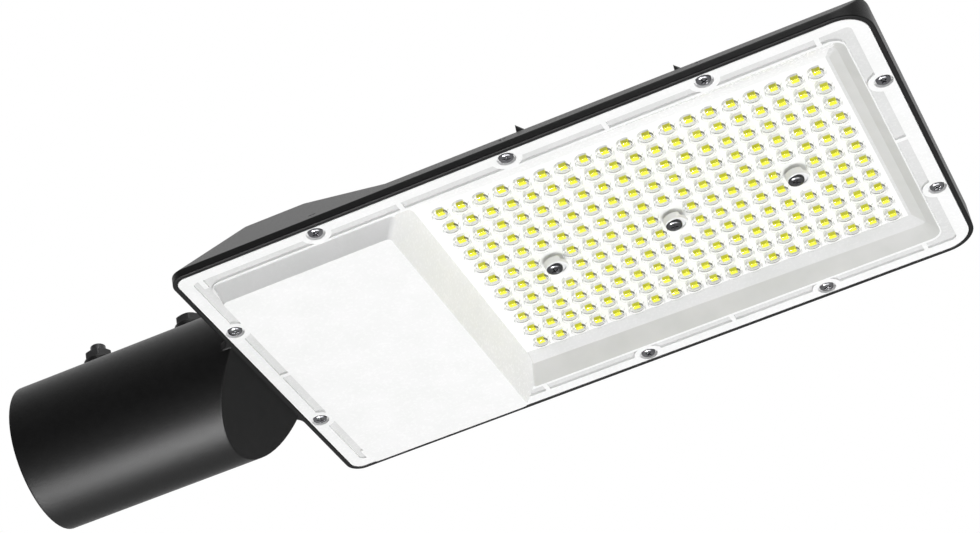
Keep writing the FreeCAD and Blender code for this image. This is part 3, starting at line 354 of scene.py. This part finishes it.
def clear_plastic(name, tint):
    """Clear moulding with a glossy face."""
    material, tree, surface, output = new_material(name)
    surface.inputs["Base Color"].default_value = (*tint, 1)
    surface.inputs["Transmission Weight"].default_value = 1.0
    surface.inputs["IOR"].default_value = 1.01
    surface.inputs["Roughness"].default_value = 0.0
    surface.inputs["Coat Weight"].default_value = 0.7
    surface.inputs["Coat Roughness"].default_value = 0.05
    surface.inputs["Coat IOR"].default_value = 1.5
    let_light_in(tree, surface, output)
    return material


def frosted_plastic():
    """The part of the plate that looks white, though light gets through it."""
    material, tree, surface, output = new_material("frosted_plate")
    fine = grain(tree, 700)
    colour = two_colours(tree, fine, (0.88, 0.88, 0.87), (0.91, 0.91, 0.91))
    tree.links.new(colour, surface.inputs["Base Color"])
    tree.links.new(map_range(tree, fine, NOISE_SPAN, (0.3, 0.4)), surface.inputs["Roughness"])
    surface.inputs["Specular IOR Level"].default_value = 0.1
    let_light_in(tree, surface, output)
    return material


def cover_materials(white):
    """The cover's materials, in the order of their numbers."""
    # The near-black clear plastic paints dark reflections on the hollows' shoulders
    return [clear_plastic("clear_cover", (0.99, 0.995, 0.99)), white,
            clear_plastic("lens_flank_painted_shade", (0.60, 0.60, 0.59)),
            clear_plastic("lens_painted_reflection", (0.05, 0.05, 0.04)),
            grey_painted_shade(), slope_painted_shade(), frosted_plastic()]


def chip_materials(white):
    """The chips' materials, in the order of their numbers."""
    return [phosphor("phosphor", (0.93, 0.90, 0.0), (0.98, 0.96, 0.0)), white,
            phosphor("phosphor_painted_shade", (0.60, 0.60, 0.0), (0.66, 0.65, 0.0))]


def welded(node):
    """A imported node's mesh to work on, with its corners joined."""
    mesh = bmesh.new()
    mesh.from_mesh(node.data)
    bmesh.ops.remove_doubles(mesh, verts=mesh.verts, dist=WELD)
    return mesh


def connected(start, seen):
    """The vertices that edges join to one of them, which are added to those seen."""
    stack = [start]
    group = []
    seen.add(start)
    while stack:
        vert = stack.pop()
        group.append(vert)
        for edge in vert.link_edges:
            other = edge.other_vert(vert)
            if other not in seen:
                seen.add(other)
                stack.append(other)
    return group


def islands(node):
    """Boxes round a node's separate solids, as their low and high corners."""
    mesh = welded(node)
    seen = set()
    boxes = []
    for start in mesh.verts:
        if start not in seen:
            group = connected(start, seen)
            low = Vector([min(vert.co[i] for vert in group) for i in range(3)])
            high = Vector([max(vert.co[i] for vert in group) for i in range(3)])
            boxes.append((low, high))
    mesh.free()
    return boxes


class Plane:
    """The leaning plane of the lens plate's face, with its own flat coordinates."""

    def __init__(self, chips):
        centres = [(low + high) / 2 for low, high in chips]
        mean_x = sum(p.x for p in centres) / len(centres)
        mean_z = sum(p.z for p in centres) / len(centres)
        rise = sum((p.x - mean_x) * (p.z - mean_z) for p in centres)
        run = sum((p.x - mean_x) ** 2 for p in centres)
        lean = math.atan(rise / run)
        self.up = Vector((-math.sin(lean), 0, math.cos(lean)))
        self.along = Vector((math.cos(lean), 0, math.sin(lean)))
        self.origin = Vector((mean_x, 0, mean_z)) - self.up * (PLATE + BOARD_GAP - CHIP_H / 2)

    def flat(self, p):
        """Coordinates in the plane, and height over its face."""
        away = p - self.origin
        return away.dot(self.along), p.y, away.dot(self.up)

    def place(self, x, y, h):
        """The point with those coordinates and that height."""
        return self.origin + self.along * x + Vector((0, y, 0)) + self.up * h

    def centres(self, node):
        """Flat centres of a node's separate solids."""
        return [self.flat((low + high) / 2)[:2] for low, high in islands(node)]


class Outline:
    """Closed lines in a plane, with the vertices that they join, ready to be filled with triangles."""

    def __init__(self):
        self.verts = []
        self.flat = []
        self.edges = []

    def add(self, verts, points):
        """Adds a closed line and returns its flat corners."""
        start = len(self.verts)
        count = len(verts)
        corners = [Vector(p) for p in points]
        self.verts += verts
        self.flat += corners
        self.edges += [(start + i, start + (i + 1) % count) for i in range(count)]
        return corners

    def triangles(self):
        """Triangles between the lines, as numbers of the vertices."""
        _, _, faces, origins, _, _ = delaunay_2d_cdt(self.flat, self.edges, [], 1, 1e-9)
        return [[origins[i][0] for i in face] for face in faces]


def ring(centre, half, count):
    """Flat points of an oval."""
    points = []
    for i in range(count):
        a = 2 * math.pi * i / count
        points.append((centre[0] + half[0] * math.cos(a), centre[1] + half[1] * math.sin(a)))
    return points


def oval_of(corners):
    """Centre and size of the oval through some corners, and how much of it their lines surely enclose."""
    low = [min(p[i] for p in corners) for i in (0, 1)]
    high = [max(p[i] for p in corners) for i in (0, 1)]
    share = math.cos(math.pi / len(corners)) ** 2
    return (low[0] + high[0]) / 2, (low[1] + high[1]) / 2, high[0] - low[0], high[1] - low[1], share


def in_oval(x, y, oval):
    """Whether a flat point lies in an oval."""
    middle_x, middle_y, width, depth, share = oval
    return ((x - middle_x) * 2 / width) ** 2 + ((y - middle_y) * 2 / depth) ** 2 < share


def boundary_loops(mesh):
    """Closed loops of open edges, as lists of vertices."""
    edges = {e for e in mesh.edges if e.is_boundary}
    loops = []
    while edges:
        edge = edges.pop()
        first, vert = edge.verts
        loop = [first]
        while vert is not first:
            loop.append(vert)
            edge = next(e for e in vert.link_edges if e in edges)
            edges.discard(edge)
            vert = edge.other_vert(vert)
        loops.append(loop)
    return loops


def loops_at(mesh, plane, h):
    """Open loops at a height over the plate's face, the longest first."""
    found = []
    for loop in boundary_loops(mesh):
        height = sum(plane.flat(v.co)[2] for v in loop) / len(loop)
        if abs(height - h) < 5 * SLACK:
            found.append(loop)
    return sorted(found, key=lambda loop: min(v.co.x for v in loop) - max(v.co.x for v in loop))


def fill_plane(mesh, plane, h, holes, flip, lines=()):
    """Fills a level between its outer loop, the loops in it and new rings, and returns those rings.

    Lines, where given, are a closed line that the triangles follow as well.
    """
    outline = Outline()
    closed = []
    rings = []
    for loop in loops_at(mesh, plane, h):
        closed.append(outline.add(loop, [plane.flat(v.co)[:2] for v in loop]))
    for points in holes:
        made = [mesh.verts.new(plane.place(x, y, h)) for x, y in points]
        closed.append(outline.add(made, points))
        rings.append(made)
    outline.add([mesh.verts.new(plane.place(x, y, h)) for x, y in lines], lines)
    ovals = [oval_of(corners) for corners in closed[1:]]
    for corners in outline.triangles():
        x = sum(outline.flat[i].x for i in corners) / 3
        y = sum(outline.flat[i].y for i in corners) / 3
        if not any(in_oval(x, y, oval) for oval in ovals):
            verts = [outline.verts[i] for i in corners]
            mesh.faces.new(verts[::-1] if flip else verts)
    return rings


def skirt(mesh, low, high):
    """Quads between two like rings."""
    made = []
    for i in range(len(low)):
        j = (i + 1) % len(low)
        made.append(mesh.faces.new((low[i], low[j], high[j], high[i])))
    return made


def painted(degrees, paint):
    """Material number that a paint has at an angle."""
    plain, arcs = paint
    for (start, end), number in arcs:
        if start < degrees < end:
            return number
    return plain


def bands(mesh, plane, base, centre, half, top, shape):
    """Storeys of a round form, from a ring to its closed top."""
    below = base
    count = len(base)
    for scale, part, paint in shape:
        points = ring(centre, (half[0] * scale, half[1] * scale), count)
        above = [mesh.verts.new(plane.place(x, y, part * top)) for x, y in points]
        for i, face in enumerate(skirt(mesh, below, above)):
            degrees = (360 * (i + 0.5) / count + 180) % 360 - 180
            face.material_index = painted(degrees, paint)
        below = above
    mesh.faces.new(below)


def crisp_edges(mesh, degrees, round_faces=frozenset()):
    """Smooth shading with crisp edges over an angle, which is LENS_ANGLE between round faces."""
    for face in mesh.faces:
        face.smooth = True
    for edge in mesh.edges:
        limit = LENS_ANGLE if all(face in round_faces for face in edge.link_faces) else degrees
        edge.smooth = edge.calc_face_angle(0.0) < math.radians(limit)


def add_piece(mesh, name, materials, replaced):
    """Turns a mesh into a piece of the part."""
    data = bpy.data.meshes.new(name)
    mesh.to_mesh(data)
    mesh.free()
    piece = bpy.data.objects.new(name, data)
    bpy.context.scene.collection.objects.link(piece)
    for material in materials:
        data.materials.append(material)
    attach(piece, "root")
    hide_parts(replaced)
    return piece


def drop_flat_lenses(mesh, plane, grid, bosses):
    """Takes out both faces of the plate and the flat-sided lenses, but not the screws' bosses."""
    doomed = []
    for face in mesh.faces:
        spots = [plane.flat(v.co) for v in face.verts]
        low = min(h for _, _, h in spots)
        high = max(h for _, _, h in spots)
        in_grid = all(abs(x) < grid[0] + LENS_EDGE and abs(y) < grid[1] + LENS_EDGE for x, y, _ in spots)
        plate_face = high - low < SLACK and (abs(low) < SLACK or abs(low - PLATE) < SLACK)
        boss_face = any(all(math.dist((x, y), boss) < BOSS_R for x, y, _ in spots) for boss in bosses)
        if plate_face or (in_grid and high < SLACK and not boss_face):
            doomed.append(face)
    bmesh.ops.delete(mesh, geom=doomed, context="FACES")


def shade_cover(mesh, plane, grid, shade):
    """Frosts the plate round the lenses, and paints shade on the groove, the far steps and the far slopes.
    """
    for face in mesh.faces:
        face.normal_update()
        normal = face.normal
        middle = face.calc_center_median()
        x, y, _ = plane.flat(middle)
        level = abs(normal.dot(plane.up)) > LEVEL
        round_lenses = abs(x) > grid[0] + WHITE_EDGE or abs(y) > grid[1] + WHITE_EDGE
        if face.material_index == CLEAR and round_lenses:
            face.material_index = FROST
        far_step = level and (x > shade[0] or y > shade[1]) and middle.z > GROOVE_FLOOR + GROOVE_STEP
        groove = all(abs(v.co.z - GROOVE_FLOOR) < 4 * SLACK for v in face.verts)
        # the groove and the far steps get a grey of painted shade
        if far_step or groove:
            face.material_index = PAINTED_SHADE_GREY
        # slopes turned in on the far sides get a darker white of painted shade
        faces_in = (normal.y < -FACING and y > shade[1]) or (normal.x < -FACING and x > shade[0])
        if faces_in and not level and abs(normal.z) > FACING:
            face.material_index = SHADED_SLOPE


def lens_cover(frame, materials):
    """The moulding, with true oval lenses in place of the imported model's flat-sided ones."""
    plane = Plane(islands(frame["nodes"]["led_chips"]))
    centres = plane.centres(frame["nodes"]["led_chips"])
    bosses = plane.centres(frame["nodes"]["board_screws"])
    grid = (max(x for x, _ in centres), max(y for _, y in centres))
    shade = (grid[0] + SHADE_EDGE, grid[1] + SHADE_EDGE)
    shade_lines = [(side_x * shade[0], side_y * shade[1])
                   for side_x, side_y in ((-1, -1), (1, -1), (1, 1), (-1, 1))]
    mesh = welded(frame["nodes"]["lens_cover"])
    for face in mesh.faces:
        face.material_index = WHITE
    drop_flat_lenses(mesh, plane, grid, bosses)
    lens_holes = [ring(centre, LENS_HALF, LENS_SEGMENTS) for centre in centres]
    mouths = [ring(centre, MOUTH_HALF, LENS_SEGMENTS) for centre in centres]
    lens_rings = fill_plane(mesh, plane, 0.0, lens_holes, True, shade_lines)
    mouth_rings = fill_plane(mesh, plane, PLATE, mouths, False)
    shade_cover(mesh, plane, grid, shade)
    plain = len(mesh.faces)
    for base, centre in zip(lens_rings, centres):
        bands(mesh, plane, base, centre, LENS_HALF, LENS_TOP, LENS_SHAPE)
    for base, centre in zip(mouth_rings, centres):
        bands(mesh, plane, base, centre, POCKET_HALF, POCKET_TOP, POCKET_SHAPE)
    mesh.faces.ensure_lookup_table()
    round_faces = set(mesh.faces[plain:])
    bmesh.ops.recalc_face_normals(mesh, faces=mesh.faces)
    crisp_edges(mesh, CRISP, round_faces)
    add_piece(mesh, "clear_lens_cover", materials, "lens_cover")


def chip_package(mesh, plane, centre):
    """A block with a white collar, a yellow top with bevelled edges, and painted shade: an olive side to
    the camera.
    """
    x, y = centre
    edge = 1 - CHIP_BEVEL / CHIP_HALF[1]
    levels = [(1.0, PLATE + BOARD_GAP, COLLAR), (1.0, CHIP_COLLAR, COLLAR),
              (1.0, CHIP_FACE + CHIP_BEVEL, YELLOW), (edge, CHIP_FACE, YELLOW)]
    rings = []
    for scale, h, _ in levels:
        a = CHIP_HALF[0] * scale
        b = CHIP_HALF[1] * scale
        corners = ((x - a, y - b), (x + a, y - b), (x + a, y + b), (x - a, y + b))
        rings.append([mesh.verts.new(plane.place(px, py, h)) for px, py in corners])
    for near, far, (_, _, number) in zip(rings, rings[1:], levels[1:]):
        sides = skirt(mesh, near, far)
        for face in sides:
            face.material_index = number
        # the side to the camera gets the darker olive of painted shade
        if number == YELLOW:
            sides[0].material_index = SHADED_OLIVE
    mesh.faces.new(rings[0])
    mesh.faces.new(rings[-1])


def chips(frame, materials):
    """Chip packages that stand up into the lenses' hollows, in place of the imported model's flat chips."""
    node = frame["nodes"]["led_chips"]
    plane = Plane(islands(node))
    mesh = bmesh.new()
    for centre in plane.centres(node):
        chip_package(mesh, plane, centre)
    bmesh.ops.recalc_face_normals(mesh, faces=mesh.faces)
    add_piece(mesh, "phosphor_chips", materials, "led_chips")


def cross(half, reach):
    """Outline of a cross recess."""
    corners = []
    for i in range(4):
        c = math.cos(math.pi / 2 * i)
        s = math.sin(math.pi / 2 * i)
        for x, y in ((reach, -half), (reach, half), (half, half)):
            corners.append((x * c - y * s, x * s + y * c))
    return corners


def pan_head(mesh, centre, up, radius, height, turn):
    """Round-shouldered head with a cross recess; up points from its face into the part."""
    side = up.orthogonal().normalized()
    other = up.cross(side)

    def place(points, h):
        """Vertices at flat points, turned with the head."""
        made = []
        for x, y in points:
            a = x * math.cos(turn) - y * math.sin(turn)
            b = x * math.sin(turn) + y * math.cos(turn)
            made.append(mesh.verts.new(centre + side * a + other * b + up * h))
        return made

    circles = [ring((0, 0), (radius * scale,) * 2, HEAD_SEGMENTS) for scale, _ in HEAD_SHAPE]
    storeys = [place(circle, height * part) for circle, (_, part) in zip(circles, HEAD_SHAPE)]
    for low, high in zip(storeys, storeys[1:]):
        skirt(mesh, low, high)
    mesh.faces.new(storeys[0][::-1])
    mouth = cross(CROSS_HALF, CROSS_REACH)
    rim = place(mouth, 0.0)
    bottom = place(cross(CROSS_HALF * CROSS_TAPER[0], CROSS_REACH * CROSS_TAPER[1]), CROSS_DEPTH)
    face = Outline()
    face.add(storeys[-1], circles[-1])
    face.add(rim, mouth)
    for corners in face.triangles():
        if min(corners) < HEAD_SEGMENTS:
            mesh.faces.new([face.verts[i] for i in corners])
    skirt(mesh, rim, bottom)
    mesh.faces.new(bottom)


def shank(mesh, middle, up, length):
    """A plain rod round an axis."""
    rod = bmesh.ops.create_cone(mesh, cap_ends=True, segments=SHANK_SEGMENTS, radius1=SHANK_R,
                                radius2=SHANK_R, depth=length)
    where = Matrix.Translation(middle) @ up.to_track_quat("Z", "Y").to_matrix().to_4x4()
    bmesh.ops.transform(mesh, matrix=where, verts=rod["verts"])


def screws(frame, node, name, head, up, material, shift=0.0):
    """Screws with true heads, each turned its own way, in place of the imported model's plain ones."""
    mesh = bmesh.new()
    for i, (low, high) in enumerate(islands(frame["nodes"][node])):
        middle = (low + high) / 2 - Vector((shift, 0, 0))
        half = (high.z - low.z) / 2
        pan_head(mesh, middle - up * half, up, *head, HEAD_TURN[0] + HEAD_TURN[1] * i)
        shank(mesh, middle + up * head[1] / 2, up, 2 * half - head[1])
    bmesh.ops.recalc_face_normals(mesh, faces=mesh.faces)
    crisp_edges(mesh, HEAD_ANGLE)
    add_piece(mesh, name, [material], node)


def nut_section(a, bottom, top):
    """Radii and heights round a nut's wall at an angle: from the bore over both chamfered ends."""
    from_flat = math.radians(30) - (a - NUT_TURN) % math.radians(60)
    radius = NUT_HALF / math.cos(from_flat)
    rise = (radius - NUT_LAND) * NUT_CHAMFER
    return [(NUT_BORE, bottom), (NUT_LAND, bottom), (radius, bottom + rise),
            (radius, top - rise), (NUT_LAND, top), (NUT_BORE, top)]


def thin_nuts(frame, material):
    """Chamfered hexagon nuts, low enough to show the bolts' ends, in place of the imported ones."""
    mesh = bmesh.new()
    angles = [2 * math.pi * k / NUT_SEGMENTS for k in range(NUT_SEGMENTS)]
    for low, high in islands(frame["nodes"]["lock_nuts"]):
        middle = (low + high) / 2
        top = min(high.z, low.z + NUT_H)
        rings = []
        for corners in zip(*[nut_section(a, low.z, top) for a in angles]):
            points = [(middle.x + r * math.cos(a), middle.y + r * math.sin(a), z)
                      for a, (r, z) in zip(angles, corners)]
            rings.append([mesh.verts.new(point) for point in points])
        for near, far in zip(rings, rings[1:] + rings[:1]):
            skirt(mesh, near, far)
    bmesh.ops.recalc_face_normals(mesh, faces=mesh.faces)
    piece = add_piece(mesh, "thin_nuts", [material], "lock_nuts")
    smooth(piece)


def smooth(piece):
    """Smooth shading, with the sharper edges kept crisp."""
    piece.data.shade_smooth()
    piece.data.set_sharp_from_angle(angle=math.radians(CRISP))


def dress(frame, material, *names):
    """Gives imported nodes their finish."""
    for name in names:
        node = frame["nodes"][name]
        node.data.materials.clear()
        node.data.materials.append(material)


def dress_outer(frame, steel):
    """Finishes of the casting, of what the clear cover shows and of what guides the cable."""
    sheet = white_sheet()
    dress(frame, black_casting(), "housing")
    dress(frame, steel, "clamp_bolts")
    dress(frame, sheet, "driver_tray", "bay_liner")
    dress(frame, silicone(), "cover_gasket")
    dress(frame, white_board(), "led_board")
    dress(frame, plastic("black_plastic", (0.015, 0.015, 0.016)), "cable_strap", "cable_grommet",
          "breather_vent")


def dress_inner(frame, white):
    """Finishes of the nodes in the driver's bay and behind the board."""
    zinc = metal("zinc", (0.55, 0.56, 0.57), (0.66, 0.66, 0.66), (0.25, 0.4))
    brass = metal("brass_lug", (0.62, 0.45, 0.16), (0.72, 0.55, 0.22), (0.25, 0.4))
    case = metal("driver_case", (0.44, 0.45, 0.46), (0.50, 0.51, 0.52), (0.3, 0.42))
    dress(frame, white, "board_connector", "terminal_block", "surge_protector")
    dress(frame, zinc, "tray_screws", "driver_screws", "strap_screws", "earth_screw")
    dress(frame, brass, "earth_lug")
    dress(frame, case, "driver_unit")
    dress(frame, plastic("thermal_grey", (0.25, 0.26, 0.27), (0.7, 0.8)), "thermal_pad")
    dress(frame, plastic("green_insulation", (0.05, 0.35, 0.06)), "earth_lead")
    dress(frame, plastic("red_insulation", (0.45, 0.02, 0.02)), "led_leads")
    dress(frame, plastic("blue_insulation", (0.02, 0.10, 0.45)), "mains_leads", "surge_leads")


def camera():
    """The photograph's camera."""
    data = bpy.data.cameras.new("camera")
    data.lens = CAMERA_LENS
    data.sensor_width = CAMERA_SENSOR
    item = bpy.data.objects.new("camera", data)
    turn = Matrix((Vector(CAMERA_RIGHT), -Vector(CAMERA_DOWN), -Vector(CAMERA_FORWARD))).transposed()
    item.matrix_world = Matrix.Translation(Vector(CAMERA_AT)) @ turn.to_4x4()
    bpy.context.scene.collection.objects.link(item)
    bpy.context.scene.camera = item


def lamp(name, aim, direction, distance, side, power):
    """A square soft lamp that looks at a point from a direction."""
    data = bpy.data.lights.new(name, "AREA")
    data.size = side
    data.energy = power
    item = bpy.data.objects.new(name, data)
    towards = Vector(direction).normalized()
    item.location = aim + towards * distance
    item.rotation_mode = "QUATERNION"
    item.rotation_quaternion = towards.to_track_quat("Z", "Y")
    bpy.context.scene.collection.objects.link(item)
    return item


def lamps(aim):
    """Two lamps that light the part, and one that shows in its gloss only."""
    lamp("lamp_below", aim, *LAMP_BELOW)
    lamp("lamp_above", aim, *LAMP_ABOVE)
    glint = lamp("lamp_glint", aim, *LAMP_GLINT)
    glint.visible_diffuse = False


def background(tree, strength=1.0):
    """White light of a strength."""
    node = tree.nodes.new("ShaderNodeBackground")
    node.inputs["Color"].default_value = (1, 1, 1, 1)
    node.inputs["Strength"].default_value = strength
    return node


def mirrored_strength(tree):
    """How bright the world is in reflections: less below and on the camera's side, with one glow."""
    where = tree.nodes.new("ShaderNodeTexCoord")
    axes = tree.nodes.new("ShaderNodeSeparateXYZ")
    tree.links.new(where.outputs["Generated"], axes.inputs[0])
    towards = tree.nodes.new("ShaderNodeVectorMath")
    towards.operation = "DOT_PRODUCT"
    towards.inputs[1].default_value = Vector(GLOW_AT).normalized()
    tree.links.new(where.outputs["Generated"], towards.inputs[0])
    height = map_range(tree, axes.outputs["Z"], MIRROR_RISE, (MIRROR_LOW, MIRROR_HIGH), "SMOOTHSTEP")
    front = map_range(tree, axes.outputs["Y"], MIRROR_DEPTH, (MIRROR_FRONT, 1.0), "SMOOTHSTEP")
    glow = map_range(tree, towards.outputs["Value"], GLOW_SPAN, (0.0, GLOW), "SMOOTHSTEP")
    total = tree.nodes.new("ShaderNodeMath")
    total.operation = "MULTIPLY_ADD"
    for i, source in enumerate((height, front, glow)):
        tree.links.new(source, total.inputs[i])
    return total.outputs[0]


def world():
    """White to the camera, plain light for what is matt, and darker in front for reflections."""
    made = bpy.data.worlds.new("world")
    bpy.context.scene.world = made
    made.use_nodes = True
    tree = made.node_tree
    tree.nodes.clear()
    seen = background(tree)
    light = background(tree, WORLD_LIGHT)
    mirror = background(tree)
    tree.links.new(mirrored_strength(tree), mirror.inputs["Strength"])
    path = tree.nodes.new("ShaderNodeLightPath")
    direct = either(tree, path.outputs["Is Camera Ray"], path.outputs["Is Transmission Ray"])
    unseen = mix(tree, path.outputs["Is Glossy Ray"], light.outputs[0], mirror.outputs[0])
    output = tree.nodes.new("ShaderNodeOutputWorld")
    tree.links.new(mix(tree, direct, unseen, seen.outputs[0]), output.inputs["Surface"])


def floor():
    """A pale floor far below the part."""
    mesh = bmesh.new()
    bmesh.ops.create_grid(mesh, x_segments=1, y_segments=1, size=FLOOR_HALF)
    data = bpy.data.meshes.new("floor")
    mesh.to_mesh(data)
    mesh.free()
    item = bpy.data.objects.new("floor", data)
    item.location = (0, 0, FLOOR_Z)
    bpy.context.scene.collection.objects.link(item)
    pale = finish("floor", (0.86, 0.86, 0.86), (0.88, 0.88, 0.88), (0.7, 0.8), waves=20, relief=0.0)
    data.materials.append(pale)


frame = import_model()
cad_low, cad_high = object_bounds()
camera()
world()
floor()
lamps((cad_low + cad_high) / 2)

steel = blackened_steel()
white = white_plastic()
chrome = metal("dark_chrome", (0.16, 0.16, 0.17), (0.22, 0.22, 0.23), (0.08, 0.14))
dark_chrome = metal("dark_chrome_board", (0.07, 0.07, 0.075), (0.11, 0.11, 0.115), (0.14, 0.2))
dress_outer(frame, steel)
dress_inner(frame, white)
thin_nuts(frame, steel)
chips(frame, chip_materials(white))
lens_cover(frame, cover_materials(white))
plate_up = Plane(islands(frame["nodes"]["led_chips"])).up
screws(frame, "cover_screws", "pan_cover_screws", COVER_HEAD, Vector((0, 0, 1)), chrome)
screws(frame, "board_screws", "pan_board_screws", BOARD_HEAD, plate_up, dark_chrome, BOARD_SHIFT)
for node in frame["nodes"].values():
    smooth(node)

bpy.context.scene.view_settings.view_transform = "Standard"
